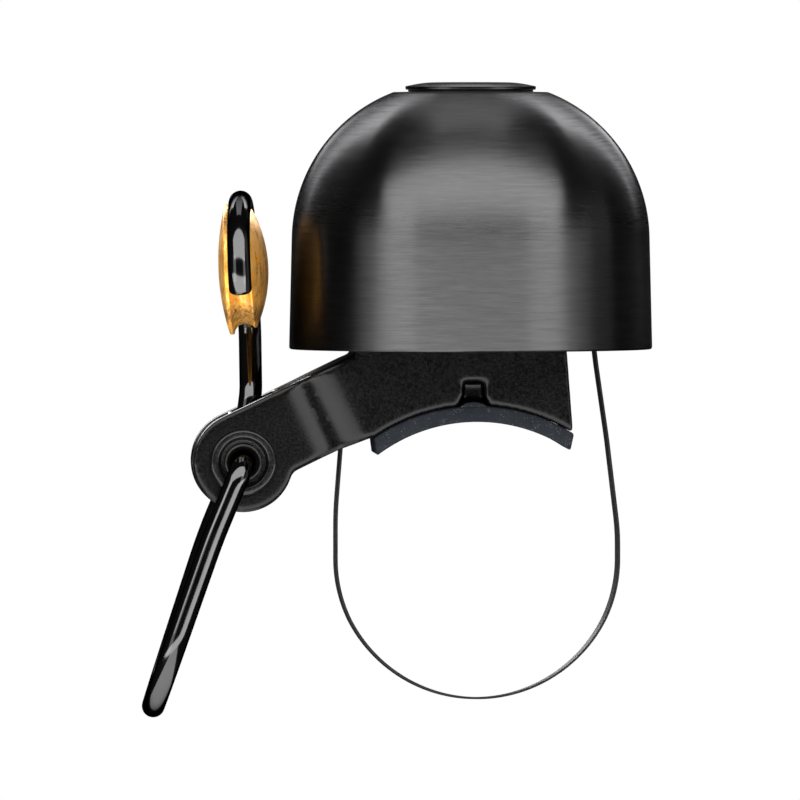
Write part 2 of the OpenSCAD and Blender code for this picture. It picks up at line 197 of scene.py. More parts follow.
def lathe(profile, matrix, segments, closed=True, hexes=()):
    """Turns a profile of (radius, height) about Z. Points listed in hexes go round a hexagon."""
    bm = bmesh.new()
    rings = []
    for i, (r, h) in enumerate(profile):
        if r < 1e-9:
            rings.append([bm.verts.new(matrix @ Vector((0, 0, h)))])
            continue
        ring = []
        for j in range(segments):
            t = 2 * math.pi * j / segments
            rr = hex_radius(r, t) if i in hexes else r
            ring.append(bm.verts.new(matrix @ Vector((rr * math.cos(t), rr * math.sin(t), h))))
        rings.append(ring)
    pairs = len(rings) if closed else len(rings) - 1
    for i in range(pairs):
        a, b = rings[i], rings[(i + 1) % len(rings)]
        if len(a) == 1 and len(b) == 1:
            continue
        for j in range(segments):
            k = (j + 1) % segments
            if len(a) == 1:
                bm.faces.new((a[0], b[j], b[k]))
            elif len(b) == 1:
                bm.faces.new((a[j], b[0], a[k]))
            else:
                bm.faces.new((a[j], b[j], b[k], a[k]))
    return bm


def bent_path(points, bends, step):
    """Points along straight runs joined by round bends."""
    out = [Vector(points[0])]
    for i in range(1, len(points) - 1):
        p = Vector(points[i])
        d1 = (p - Vector(points[i - 1])).normalized()
        d2 = (Vector(points[i + 1]) - p).normalized()
        angle = d1.angle(d2)
        cut = bends[i] * math.tan(angle / 2)
        axis = d1.cross(d2).normalized()
        start = p - d1 * cut
        centre = start + axis.cross(d1) * bends[i]
        steps = max(3, math.ceil(bends[i] * angle / step))
        for k in range(steps + 1):
            turn = Matrix.Rotation(angle * k / steps, 3, axis)
            out.append(centre + turn @ (start - centre))
    out.append(Vector(points[-1]))
    return out


def spaced(points, step):
    """The same route with extra points, so that no gap is longer than the step."""
    out = [points[0]]
    for a, b in zip(points, points[1:]):
        parts = max(1, math.ceil((b - a).length / step))
        out += [a.lerp(b, (k + 1) / parts) for k in range(parts)]
    return [p for i, p in enumerate(out) if i == 0 or (p - out[i - 1]).length > 1e-9]


def tube(points, radius, sides, end_round, end_steps=5):
    """A round tube along points, with softened ends."""
    bm = bmesh.new()
    tangents = []
    for i in range(len(points)):
        a = points[max(0, i - 1)]
        b = points[min(len(points) - 1, i + 1)]
        tangents.append((b - a).normalized())
    normal = tangents[0].orthogonal().normalized()
    soft = radius * end_round

    def end_rows(point, inward, tangent):
        turns = [swept(k / end_steps) for k in range(end_steps)]
        return [(point + inward * (soft - soft * c), tangent, radius - soft + soft * s)
                for s, c in turns]

    rows = end_rows(points[0], tangents[0], tangents[0])
    rows.append((points[0] + tangents[0] * soft, tangents[0], radius))
    rows += [(points[i], tangents[i], radius) for i in range(1, len(points) - 1)]
    rows.append((points[-1] - tangents[-1] * soft, tangents[-1], radius))
    rows += reversed(end_rows(points[-1], -tangents[-1], tangents[-1]))
    rings = []
    for place, tangent, r in rows:
        normal = (normal - tangent * normal.dot(tangent)).normalized()
        side = tangent.cross(normal)
        rings.append([bm.verts.new(place + (normal * math.cos(2 * math.pi * j / sides)
                                            + side * math.sin(2 * math.pi * j / sides)) * r)
                      for j in range(sides)])
    skin(bm, rings)
    bm.faces.new(list(reversed(rings[0])))
    bm.faces.new(rings[-1])
    return bm


def prism(outline, y_low, y_high, soft):
    """An outline in X and Z carried along Y, with softened edges at both ends."""
    steps = 4
    count = len(outline)
    flat = [Vector((x, z)) for x, z in outline]
    area = sum(flat[i - 1].x * flat[i].y - flat[i].x * flat[i - 1].y for i in range(count))
    turn = 1 if area > 0 else -1
    inward = []
    for i in range(count):
        a = (flat[i] - flat[i - 1]).normalized()
        b = (flat[(i + 1) % count] - flat[i]).normalized()
        n = Vector((-(a.y + b.y), a.x + b.x)) * turn
        n = n.normalized() if n.length > 1e-9 else Vector((0, 0))
        inward.append(n)
    bm = bmesh.new()
    quarter = [swept(k / steps) for k in range(steps + 1)]
    corner = [(soft * (1 - s), soft * (1 - c)) for s, c in quarter]
    levels = [(y_low + drop, inset) for drop, inset in reversed(corner)]
    levels += [(y_high - drop, inset) for drop, inset in corner]
    rings = []
    for y, inset in levels:
        rings.append([bm.verts.new((p.x + n.x * inset, y, p.y + n.y * inset))
                      for p, n in zip(flat, inward)])
    skin(bm, rings)
    caps = [bm.faces.new(rings[0]), bm.faces.new(rings[-1])]
    bmesh.ops.triangulate(bm, faces=caps)
    return bm


def apply_modifiers(piece):
    """Replaces a piece's mesh with its modified one."""
    graph = bpy.context.evaluated_depsgraph_get()
    mesh = bpy.data.meshes.new_from_object(piece.evaluated_get(graph))
    piece.modifiers.clear()
    old = piece.data
    piece.data = mesh
    bpy.data.meshes.remove(old)


# ---------------------------------------------------------------- materials

class Paint:
    """One procedural material, built node by node."""

    def __init__(self, name):
        self.material = bpy.data.materials.new(name)
        self.material.use_nodes = True
        self.tree = self.material.node_tree
        self.bsdf = self.tree.nodes["Principled BSDF"]
        self.at = self.node("ShaderNodeTexCoord").outputs["Object"]

    def node(self, kind, **values):
        made = self.tree.nodes.new(kind)
        for key, value in values.items():
            setattr(made, key, value)
        return made

    def link(self, out, into):
        self.tree.links.new(out, into)

    def set(self, **values):
        for key, value in values.items():
            self.bsdf.inputs[key.replace("_", " ")].default_value = value

    def edge_tint(self, level):
        """How much of the gloss stays at a grazing angle."""
        self.bsdf.inputs["Specular Tint"].default_value = (level, level, level, 1)

    def surface(self, colour, rough, normal):
        """Links the three results to the shader and hands back the finished material."""
        for value, socket in ((colour, "Base Color"), (rough, "Roughness"), (normal, "Normal")):
            self.link(value, self.bsdf.inputs[socket])
        return self.material

    def height(self):
        """The height of the point on the piece."""
        parts = self.node("ShaderNodeSeparateXYZ")
        self.link(self.at, parts.inputs[0])
        return parts.outputs[2]

    def math(self, operation, a, b=None):
        made = self.node("ShaderNodeMath", operation=operation)
        for socket, value in zip(made.inputs, (a, b)):
            if value is None:
                continue
            if isinstance(value, (int, float)):
                socket.default_value = value
            else:
                self.link(value, socket)
        return made.outputs[0]

    def stretched(self, scale):
        mapping = self.node("ShaderNodeMapping")
        mapping.inputs["Scale"].default_value = scale
        self.link(self.at, mapping.inputs["Vector"])
        return mapping.outputs["Vector"]

    def noise(self, vector, scale, detail=3, roughness=0.5):
        made = self.node("ShaderNodeTexNoise")
        made.inputs["Scale"].default_value = scale
        made.inputs["Detail"].default_value = detail
        made.inputs["Roughness"].default_value = roughness
        self.link(vector, made.inputs["Vector"])
        return made.outputs["Fac"]

    def spots(self, vector, scale, low, high):
        """1 inside scattered small spots, 0 elsewhere."""
        made = self.node("ShaderNodeTexVoronoi")
        made.inputs["Scale"].default_value = scale
        self.link(vector, made.inputs["Vector"])
        return self.span(made.outputs["Distance"], low, high, 1, 0)

    def span(self, value, low, high, out_low, out_high, kind="LINEAR"):
        made = self.node("ShaderNodeMapRange", interpolation_type=kind)
        made.inputs["From Min"].default_value = low
        made.inputs["From Max"].default_value = high
        made.inputs["To Min"].default_value = out_low
        made.inputs["To Max"].default_value = out_high
        self.link(value, made.inputs["Value"])
        return made.outputs["Result"]

    def mix(self, factor, a, b):
        made = self.node("ShaderNodeMix", data_type="RGBA")
        self.link(factor, made.inputs["Factor"])
        for socket, value in ((made.inputs[6], a), (made.inputs[7], b)):
            if isinstance(value, tuple):
                socket.default_value = (*value, 1)
            else:
                self.link(value, socket)
        return made.outputs[2]

    def bump(self, height, strength, distance, under=None):
        made = self.node("ShaderNodeBump")
        made.inputs["Strength"].default_value = strength
        made.inputs["Distance"].default_value = distance
        self.link(height, made.inputs["Height"])
        if under is not None:
            self.link(under, made.inputs["Normal"])
        return made.outputs["Normal"]

    def round_lines(self, centre, along, across):
        """Coordinates that stretch a noise round a vertical axis: slow round it, fine across."""
        moved = self.node("ShaderNodeMapping")
        moved.inputs["Location"].default_value = (-centre[0], -centre[1], 0)
        self.link(self.at, moved.inputs["Vector"])
        parts = self.node("ShaderNodeSeparateXYZ")
        self.link(moved.outputs["Vector"], parts.inputs[0])
        x, y, z = parts.outputs
        square = self.math("ADD", self.math("MULTIPLY", x, x), self.math("MULTIPLY", y, y))
        radius = self.math("SQRT", square)
        safe = self.math("MAXIMUM", radius, 1e-6)
        joined = self.node("ShaderNodeCombineXYZ")
        self.link(self.math("MULTIPLY", self.math("DIVIDE", x, safe), along), joined.inputs[0])
        self.link(self.math("MULTIPLY", self.math("DIVIDE", y, safe), along), joined.inputs[1])
        self.link(self.math("MULTIPLY", self.math("SUBTRACT", z, radius), across), joined.inputs[2])
        return joined.outputs[0]


def dome_metal(centre):
    """Black metal brushed round its axis: highlights spread up and down, with fine level streaks."""
    p = Paint("dome_metal")
    p.set(Metallic=1.0, Anisotropic=0.9, Anisotropic_Rotation=0.25)
    p.edge_tint(0.28)
    tangent = p.node("ShaderNodeTangent", direction_type="RADIAL", axis="Z")
    p.link(tangent.outputs[0], p.bsdf.inputs["Tangent"])
    fine = p.noise(p.round_lines(centre, 7, 12000), 1.0, 3, 0.7)
    broad = p.noise(p.round_lines(centre, 3, 3000), 1.0, 3, 0.6)
    patchy = p.noise(p.at, 120, 3)
    lines = p.math("ADD", p.math("MULTIPLY", fine, 0.6), p.math("MULTIPLY", broad, 0.4))
    colour = p.mix(p.span(lines, 0.35, 0.65, 0, 1), (0.080, 0.080, 0.081), (0.118, 0.118, 0.120))
    # the wall is duller than the turned crown
    wall, crown = SHOULDER_Z - 5 * MM, SHOULDER_Z + 6 * MM
    finish = p.span(p.height(), wall, crown, 0.35, 0.24, "SMOOTHSTEP")
    rough = p.math("ADD", p.math("ADD", finish, p.span(lines, 0.3, 0.7, -0.03, 0.03)),
                   p.span(patchy, 0.3, 0.7, -0.01, 0.015))
    return p.surface(colour, rough, p.bump(lines, 0.06, 0.00002))


def inner_metal(centre):
    """The dome's inside: the same metal, duller and darker."""
    p = Paint("dome_inside")
    p.set(Metallic=1.0)
    lines = p.noise(p.round_lines(centre, 4, 2500), 1.0, 3, 0.6)
    return p.surface(
        p.mix(p.span(lines, 0.35, 0.65, 0, 1), (0.035, 0.035, 0.037), (0.07, 0.07, 0.072)),
        p.span(lines, 0.3, 0.7, 0.42, 0.58), p.bump(lines, 0.2, 0.00003))


def black_plating(name, edge, dark, light, smooth, dull, ripple):
    """Smooth black plating: clear highlights on the face, darker towards the outline."""
    p = Paint(name)
    p.set(Metallic=1.0)
    p.edge_tint(edge)
    waves = p.noise(p.at, 900, 2)
    smear = p.noise(p.at, 260, 4, 0.6)
    return p.surface(p.mix(p.span(smear, 0.3, 0.7, 0, 1), dark, light),
                     p.span(smear, 0.3, 0.7, smooth, dull), p.bump(waves, ripple, 0.00003))


def bracket_black():
    """Matt black powder coat with a fine grain, a little brighter on its sharp edges: rubbed wear and
    a painted highlight where the bevels catch light.
    """
    p = Paint("bracket_black")
    p.set(IOR=1.35)
    grain = p.noise(p.at, 4200, 3, 0.6)
    cloud = p.noise(p.at, 320, 4, 0.6)
    # painted highlight: the colour is lightened on sharp convex edges, standing in for light caught
    # on the bevels as well as for rubbed wear
    rubbed_and_painted_highlight = p.span(p.node("ShaderNodeNewGeometry").outputs["Pointiness"], 0.52, 0.6, 0, 0.35)
    coat = p.mix(p.span(grain, 0.35, 0.65, 0, 1), (0.001, 0.001, 0.001), (0.005, 0.005, 0.0051))
    rough = p.math("ADD", p.span(grain, 0.3, 0.7, 0.17, 0.24), p.span(cloud, 0.3, 0.7, -0.02, 0.02))
    return p.surface(p.mix(rubbed_and_painted_highlight, coat, (0.03, 0.03, 0.031)), rough, p.bump(grain, 0.14, 0.00003))


def pad_rubber():
    """Dark blue-grey moulded rubber with pale flecks."""
    p = Paint("pad_rubber")
    p.set(IOR=1.25)
    grain = p.noise(p.at, 4200, 4, 0.65)
    cloud = p.noise(p.at, 420, 3)
    rubber = p.mix(p.span(cloud, 0.3, 0.7, 0, 1), (0.007, 0.009, 0.012), (0.013, 0.016, 0.020))
    flecked = p.span(p.noise(p.at, 1500, 2), 0.46, 0.6, 0, 1)
    flecks = p.math("MULTIPLY", p.spots(p.at, 4500, 0.1, 0.35), flecked)
    return p.surface(p.mix(flecks, rubber, (0.06, 0.07, 0.08)), p.span(grain, 0.3, 0.7, 0.55, 0.75),
                     p.bump(grain, 0.5, 0.00006))


def plain_metal(name, low, high, rough, along, metallic=1.0):
    """Bright or blackened metal with fine lines; along is the stretch of the lines in X, Y and Z."""
    p = Paint(name)
    p.set(Metallic=metallic)
    lines = p.noise(p.stretched(along), 1.0, 3, 0.6)
    painted_low_reflection = p.noise(p.at, 700, 4, 0.6)
    both = p.math("ADD", p.math("MULTIPLY", lines, 0.6), p.math("MULTIPLY", painted_low_reflection, 0.4))
    return p.surface(p.mix(p.span(both, 0.35, 0.65, 0, 1), low, high),
                     p.span(painted_low_reflection, 0.3, 0.7, rough, rough + 0.12), p.bump(lines, 0.15, 0.00002))


def soft_plastic(name, low, high, rough):
    """Moulded plastic or rubber with a fine grain and faint clouds."""
    p = Paint(name)
    grain = p.noise(p.at, 3000, 3, 0.6)
    cloud = p.noise(p.at, 500, 3)
    return p.surface(p.mix(p.span(cloud, 0.3, 0.7, 0, 1), low, high),
                     p.span(grain, 0.3, 0.7, rough, rough + 0.12), p.bump(grain, 0.25, 0.00003))


def striker_brass(middle):
    """Brass with satin streaks, brown tarnish in patches, and a painted dark reflection in a band low
    on the head.

    middle is the height of the head's centre.
    """
    p = Paint("brass")
    p.set(Metallic=0.55)
    streak = p.noise(p.stretched((3500, 3500, 420)), 1.0, 4, 0.65)
    fine = p.noise(p.at, 5200, 3, 0.6)
    tarnish = p.noise(p.at, 380, 4, 0.6)
    tone = p.mix(p.span(tarnish, 0.48, 0.66, 0, 1), (1.0, 0.41, 0.045), (0.50, 0.17, 0.015))
    bright = p.mix(p.span(streak, 0.44, 0.62, 0, 0.85), tone, (1.0, 0.64, 0.20))
    ragged = p.math("ADD", p.height(), p.span(fine, 0.3, 0.7, -0.45 * MM, 0.45 * MM))
    # painted dark reflection: a brown-black band between these heights, low on the head, stands in
    # for the dark that the lower face reflects
    under_top = p.span(ragged, middle - 3.9 * MM, middle - 3.1 * MM, 1, 0)
    over_foot = p.span(ragged, middle - 5.2 * MM, middle - 4.6 * MM, 0, 1)
    painted_low_reflection = p.math("MULTIPLY", p.math("MULTIPLY", under_top, over_foot),
                   p.span(streak, 0.35, 0.6, 1, 0.45))
    rough = p.math("ADD", p.span(streak, 0.3, 0.7, 0.24, 0.40), p.span(fine, 0.3, 0.7, -0.04, 0.05))
    # the dark brown mixed in here is the painted reflection low on the head
    return p.surface(p.mix(painted_low_reflection, bright, (0.16, 0.07, 0.015)), rough,
                     p.bump(fine, 0.12, 0.00002, p.bump(streak, 0.5, 0.00005)))


def dress(piece, material):
    """Gives a piece its one material."""
    piece.data.materials.clear()
    piece.data.materials.append(material)


# ---------------------------------------------------------------- dome and crown

DOME_LOW, DOME_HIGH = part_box("bell_dome")
DOME_X = (DOME_LOW.x + DOME_HIGH.x) / 2
DOME_R = (DOME_HIGH.x - DOME_LOW.x) / 2
RIM_Z = DOME_LOW.z
CROWN_Z = DOME_HIGH.z
WALL = 1.4 * MM
# the shoulder is one arc, whose centre lies a little off the axis and above the rim
SHOULDER_R = 14.56 * MM
SHOULDER_X = 1.9 * MM
SHOULDER_Z = RIM_Z + 10.04 * MM
# the wall leans in by this many degrees where it meets the shoulder
WALL_LEAN = 1.37
CROWN_HOLE_R = 3.0 * MM
CAP_GAP = 0.2 * MM
DOME_AXIS = Matrix.Translation((DOME_X, 0, 0))


def dome_edge(wall, crown):
    """Half of the dome's outline from its wall up to a height, set in from the outer face."""
    r = SHOULDER_R - wall
    top = math.degrees(math.asin((crown - SHOULDER_Z) / r))
    return arc(SHOULDER_X, SHOULDER_Z, r, WALL_LEAN, top, 40)


def bell_dome():
    """The shell, with brushed metal outside and duller metal inside."""
    outer = dome_edge(0, CROWN_Z - 0.02 * MM)
    inner = dome_edge(WALL, CROWN_Z - WALL)
    soft, break_edge = 0.22 * MM, 0.1 * MM
    rim = [(DOME_R - WALL + soft, RIM_Z), (DOME_R - soft, RIM_Z)]
    rim += arc(DOME_R - soft, RIM_Z + soft, soft, -80, 0, 5)
    kink_r = outer[-1][0]
    profile = rim + outer + [(kink_r - 0.9 * MM, CROWN_Z)]
    profile += [(CROWN_HOLE_R + break_edge, CROWN_Z), (CROWN_HOLE_R, CROWN_Z - break_edge)]
    profile += [(CROWN_HOLE_R, CROWN_Z - WALL)]
    profile += list(reversed(inner))
    profile += [(DOME_R - WALL, RIM_Z + soft)]
    piece = finish_mesh("bell_dome_shell", lathe(profile, DOME_AXIS, 256), "bell",
                        ["bell_dome"], sharp=40)
    dress(piece, dome_metal((DOME_X, 0)))
    piece.data.materials.append(inner_metal((DOME_X, 0)))
    for face in piece.data.polygons:
        x, y, z = face.center
        n = face.normal
        faces_in = (x - DOME_X) * n.x + y * n.y < -1e-6
        ceiling = n.z < -0.9 and z > RIM_Z + 2 * MM
        if faces_in or ceiling:
            face.material_index = 1


def crown_cap():
    """A low crowned head with a hexagon socket, on a threaded stud."""
    low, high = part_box("crown_cap")
    under, top = CROWN_Z + CAP_GAP, high.z
    r = (high.x - low.x) / 2
    flat_r, lip, edge = 3.4 * MM, 0.12 * MM, under + 0.32 * MM
    crown = [(r - (r - flat_r) * t, edge + (top - edge) * swept(t)[0])
             for t in [k / 12 for k in range(1, 13)]]
    stud_r, thread, pitch = 1.95 * MM, 0.32 * MM, 0.7 * MM
    thread_end = CROWN_Z - 3.2 * MM
    profile = [(0, low.z), (stud_r - 0.3 * MM, low.z), (stud_r, low.z + 0.3 * MM)]
    z = low.z + 0.6 * MM
    while z + pitch < thread_end:
        profile += [(stud_r, z), (stud_r - thread, z + pitch / 2)]
        z += pitch
    profile += [(stud_r, z), (stud_r, under), (r - lip, under)]
    profile += arc(r - lip, under + lip, lip, -90, 0, 4)
    profile += [(r, edge)] + crown
    start = len(profile)
    hex_r, floor_z = 1.75 * MM, under - 0.5 * MM
    profile += [(hex_r + 0.28 * MM, top), (hex_r + 0.06 * MM, top - 0.03 * MM),
                (hex_r, top - 0.12 * MM), (hex_r, floor_z), (0, floor_z)]
    turned = lathe(profile, DOME_AXIS, 144, False, {start + 1, start + 2, start + 3})
    piece = finish_mesh("crown_cap_turned", turned, "bell", ["crown_cap"], sharp=32)
    dress(piece, black_plating("cap_metal", 0.8, (0.045, 0.045, 0.046), (0.060, 0.060, 0.061),
                               0.18, 0.25, 0.08))


# ---------------------------------------------------------------- bracket

CASTING_GRAIN = 0.17 * MM
CASTING_PASSES = 9


def bracket():
    """The casting, with its hard edges rounded over."""
    source = frame["nodes"]["mount_body"]
    bm = bmesh.new()
    bm.from_mesh(source.data)
    bm.transform(source.matrix_world)
    bmesh.ops.remove_doubles(bm, verts=bm.verts, dist=1e-7)
    piece = finish_mesh("bracket_casting", bm, "bell", ["mount_body"])
    remesh = piece.modifiers.new("remesh", "REMESH")
    remesh.mode = "VOXEL"
    remesh.voxel_size = CASTING_GRAIN
    smooth = piece.modifiers.new("smooth", "CORRECTIVE_SMOOTH")
    smooth.use_only_smooth = True
    smooth.iterations = CASTING_PASSES
    smooth.factor = 0.6
    apply_modifiers(piece)
    for face in piece.data.polygons:
        face.use_smooth = True
    dress(piece, bracket_black())


def saddle_pad():
    """A curved pad on the saddle, with a nub at the front and one at the rear."""
    low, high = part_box("saddle_pad")
    middle_x, middle_z, r = -0.2 * MM, -2.47 * MM, 15.2 * MM
    outer_r = r + 1.48 * MM
    steps = 48

    def bow(radius, start, end):
        xs = [start + (end - start) * k / steps for k in range(steps + 1)]
        return [(x, middle_z + math.sqrt(radius ** 2 - (x - middle_x) ** 2)) for x in xs]

    corners = bow(r, -9.42 * MM, 8.36 * MM) + bow(outer_r, 8.7 * MM, -9.64 * MM)
    radii = [0] * len(corners)
    for i, soft in ((0, 0.28), (steps, 0.28), (steps + 1, 0.3), (2 * steps + 1, 0.3)):
        radii[i] = soft * MM
    body = prism(rounded(corners, radii, 4), low.y, high.y, 0.22 * MM)
    piece = finish_mesh("saddle_pad_rubber", body, "bell", ["saddle_pad"], sharp=40)
    nub = [(x * MM, z * MM)
           for x, z in ((-1.9, 14.05), (-1.3, 14.45), (-0.5, 14.6), (0.3, 14.45), (0.9, 14.05))]
    nub_y, nub_half = 5.75 * MM, 1.3 * MM
    for side, end in ((-1, "front"), (1, "rear")):
        knob = prism(nub, side * nub_y - nub_half, side * nub_y + nub_half, 0.1 * MM)
        dress(finish_mesh("saddle_pad_nub_" + end, knob, "bell", []), PAD_MATERIAL)
    dress(piece, PAD_MATERIAL)


# ---------------------------------------------------------------- strap

BAR_R = 12.7 * MM
STRAP_T = 0.22 * MM
STRAP_MID = BAR_R + STRAP_T / 2
STRAP_LEAN = 6.83
STRAP_SKEW = math.radians(1.7)
LEFT_LEAN = 4.5
WRAP_R = 1.95 * MM
HOOK_R = 1.15 * MM
RUN_STEP = 0.6 * MM
BEND_STEP = 3
BULGE = 0.17 * MM
# where the strap has points across its width, in mm
STRAP_COLUMNS = [-3.5, -3.42, -2.6, -1.6, -0.8, 0.8, 1.6, 2.6, 3.42, 3.5]


class Route:
    """A flat route in X and Z that goes on by straight runs and arcs."""

    def __init__(self, x, z, heading):
        self.points = [(x, z)]
        self.heading = heading

    def run(self, length):
        x, z = self.points[-1]
        parts = max(1, math.ceil(length / RUN_STEP))
        for k in range(1, parts + 1):
            d = length * k / parts
            self.points.append((x + d * math.cos(self.heading), z + d * math.sin(self.heading)))

    def bend(self, radius, degrees):
        """Turns left for positive degrees."""
        side = 1 if degrees > 0 else -1
        x, z = self.points[-1]
        cx = x - side * radius * math.sin(self.heading)
        cz = z + side * radius * math.cos(self.heading)
        parts = max(3, math.ceil(abs(degrees) / BEND_STEP))
        for k in range(1, parts + 1):
            h = self.heading + math.radians(degrees) * k / parts
            self.points.append((cx + side * radius * math.sin(h), cz - side * radius * math.cos(h)))
        self.heading += math.radians(degrees)


def strap_route():
    """From the hook over the left pin, down round the handlebar and up to the barrel.

    It also hands back the number of the point where the wrap round the barrel starts.
    """
    right = Route(STRAP_MID, 0, math.pi / 2)
    right.run(1.4 * MM)
    right.bend(20 * MM, STRAP_LEAN)
    right.run(19.4 * MM)
    right_top = len(right.points)
    right.bend(WRAP_R, 225)
    left = Route(-STRAP_MID, 0, math.pi / 2)
    left.run(3 * MM)
    left.bend(35 * MM, -LEFT_LEAN)
    left.run(7.2 * MM)
    left.bend(HOOK_R, 215)
    loop = [(-STRAP_MID * math.cos(math.radians(a)), -STRAP_MID * math.sin(math.radians(a)))
            for a in range(2, 180, 2)]
    joined = list(reversed(left.points)) + loop + right.points
    wrap_start = len(left.points) + len(loop) + right_top
    return joined, wrap_start


def part_way(value, start, end):
    """How far a value has gone from start to end, from 0 to 1."""
    return min(1, max(0, (value - start) / (end - start)))


def strap_skew(y, z):
    """The free loop hangs a little askew: its rear edge is lower, more so towards the bottom."""
    return z - y * math.tan(STRAP_SKEW) * part_way(z, 8 * MM, -12 * MM)


def strap_bulge(x, z):
    """The free loop springs out a little at both sides, between its bottom and its fixings."""
    low = part_way(z, -12.6 * MM, -5.6 * MM)
    high = part_way(z, 18 * MM, 11 * MM)
    return x + math.copysign(BULGE * low * high, x)


def strap_band():
    """The strap as a sheet, with a window in the wrap for the screw, then given its thickness."""
    points, wrap_start = strap_route()
    bm = bmesh.new()
    grid = [[bm.verts.new((strap_bulge(x, z), c * MM, strap_skew(c * MM, z)))
             for c in STRAP_COLUMNS] for x, z in points]
    for i in range(len(points) - 1):
        turned = (i - wrap_start) * BEND_STEP
        for j in range(len(STRAP_COLUMNS) - 1):
            screw_window = 55 < turned < 125 and 3 <= j <= 5
            if not screw_window:
                bm.faces.new((grid[i][j], grid[i + 1][j], grid[i + 1][j + 1], grid[i][j + 1]))
    bmesh.ops.delete(bm, geom=[v for v in bm.verts if not v.link_faces], context="VERTS")
    piece = finish_mesh("strap_band_steel", bm, "bell", ["strap_band"])
    thick = piece.modifiers.new("thick", "SOLIDIFY")
    thick.thickness = STRAP_T - 0.01 * MM
    thick.offset = 0
    bevel = piece.modifiers.new("bevel", "BEVEL")
    bevel.width = 0.05 * MM
    bevel.segments = 2
    bevel.angle_limit = math.radians(50)
    apply_modifiers(piece)
    bm = bmesh.new()
    bm.from_mesh(piece.data)
    shade(bm, 50)
    bm.to_mesh(piece.data)
    bm.free()
    dress(piece, plain_metal("strap_steel", (0.008, 0.008, 0.008), (0.018, 0.018, 0.019), 0.30,
                             (600, 9000, 600), 0.6))


# ---------------------------------------------------------------- strap screw

BARREL_LOW, BARREL_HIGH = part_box("strap_barrel")
BARREL = (BARREL_LOW + BARREL_HIGH) / 2
SCREW_AXIS = Matrix.Translation(BARREL) @ Matrix.Rotation(math.radians(-STRAP_LEAN), 4, "Y")


def threads(r, low, high, pitch, depth):
    """The side of a threaded shank, as rings."""
    count = int((high - low) / pitch)
    out = []
    for k in range(count):
        z = low + (high - low) * k / count
        out += [(r, z), (r, z + pitch * 0.12), (r - depth, z + pitch * 0.55)]
    return out + [(r, high)]


def tension_screw():
    """The screw along the strap's right side; heights are measured from the barrel."""
    r, tip, tip_cut = 1.2 * MM, -2.6 * MM, 0.35 * MM
    head_low, head_high, head_r, head_soft = 7.4 * MM, 9.7 * MM, 2.2 * MM, 0.3 * MM
    profile = [(0, tip), (r - tip_cut, tip), (r, tip + tip_cut)]
    profile += threads(r, tip + 0.4 * MM, 4.0 * MM, 0.45 * MM, 0.22 * MM)
    profile += [(r, head_low), (head_r - 0.1 * MM, head_low), (head_r, head_low + 0.1 * MM)]
    profile += arc(head_r - head_soft, head_high - head_soft, head_soft, 0, 90, 5)
    start = len(profile)
    hex_r, hex_floor = 1.15 * MM, 8.3 * MM
    profile += [(hex_r + 0.25 * MM, head_high), (hex_r, head_high - 0.1 * MM),
                (hex_r, hex_floor), (0, hex_floor)]
    turned = lathe(profile, SCREW_AXIS, 96, False, {start + 1, start + 2})
    piece = finish_mesh("tension_screw_turned", turned, "bell", ["tension_screw"],
                        sharp=32)
    dress(piece, plain_metal("screw_black", (0.02, 0.02, 0.021), (0.05, 0.05, 0.052), 0.32,
                             (4000, 4000, 900), 0.9))


def strap_barrel():
    r, half = 1.8 * MM, 4 * MM
    turn = Matrix.Translation(BARREL) @ Matrix.Rotation(math.radians(90), 4, "X")
    profile = rounded([(0, -half), (r, -half), (r, half), (0, half)], [0, 0.25 * MM, 0.25 * MM, 0], 4)
    piece = finish_mesh("strap_barrel_turned", lathe(profile, turn, 64, False), "bell",
                        ["strap_barrel"], sharp=50)
    dress(piece, ZINC)


# ---------------------------------------------------------------- bearings

PIVOT = Vector(frame["joints"][0]["pos_m"])
WIRE_R = 1.05 * MM


def facing(side):
    """A frame at the pivot whose Z points out of the front (side 1) or rear (side -1) ear."""
    return Matrix.Translation(PIVOT) @ Matrix.Rotation(math.radians(90 * side), 4, "X")


BUSH = {"corners": [(1.7, 3.3), (2.48, 3.3), (2.48, 5.0), (3.0, 5.0), (3.0, 5.6), (2.25, 5.6),
                    (2.15, 5.0), (2.07, 4.72), (1.7, 4.72)],
        "radii": [0, 0.05, 0, 0.06, 0.24, 0.2, 0, 0.04, 0]}
LINER = {"corners": [(1.1, 3.2), (1.69, 3.2), (1.69, 5.35), (1.5, 5.35), (1.1, 4.75)],
         "radii": [0, 0.04, 0.09, 0.06, 0]}


def bearing(shape, node, suffix, material, segments, steps):
    """A turned ring in each ear, from corners of (radius, distance from the middle) in mm."""
    corners = [(r * MM, h * MM) for r, h in shape["corners"]]
    profile = rounded(corners, [r * MM for r in shape["radii"]], steps)
    for side, end in ((1, "front"), (-1, "rear")):
        piece = finish_mesh(f"{node}_{end}_{suffix}", lathe(profile, facing(side), segments), "bell",
                            [f"{node}_{end}"], sharp=50)
        dress(piece, material)


# ---------------------------------------------------------------- striker

RING_CENTRE = Vector((-21.45, 0, 26.7)) * MM
RING_R = 6.15 * MM
RING_STEPS = 60
RING_YAW = math.radians(5)
RING_TILT = math.radians(2.4)
RING_FRONT = Vector((-math.sin(RING_YAW), -math.cos(RING_YAW), 0))
RING_LEAN = Vector((-math.sin(RING_TILT), 0, math.cos(RING_TILT)))
RING_UP = (RING_LEAN - RING_FRONT * RING_LEAN.dot(RING_FRONT)).normalized()
RING_OUT = (-RING_FRONT).cross(RING_UP)
RING_SWEEP = 200
# the lever hangs this far from straight down
LEVER_A = math.radians(19.9)
LEVER_LEN = 23.93 * MM
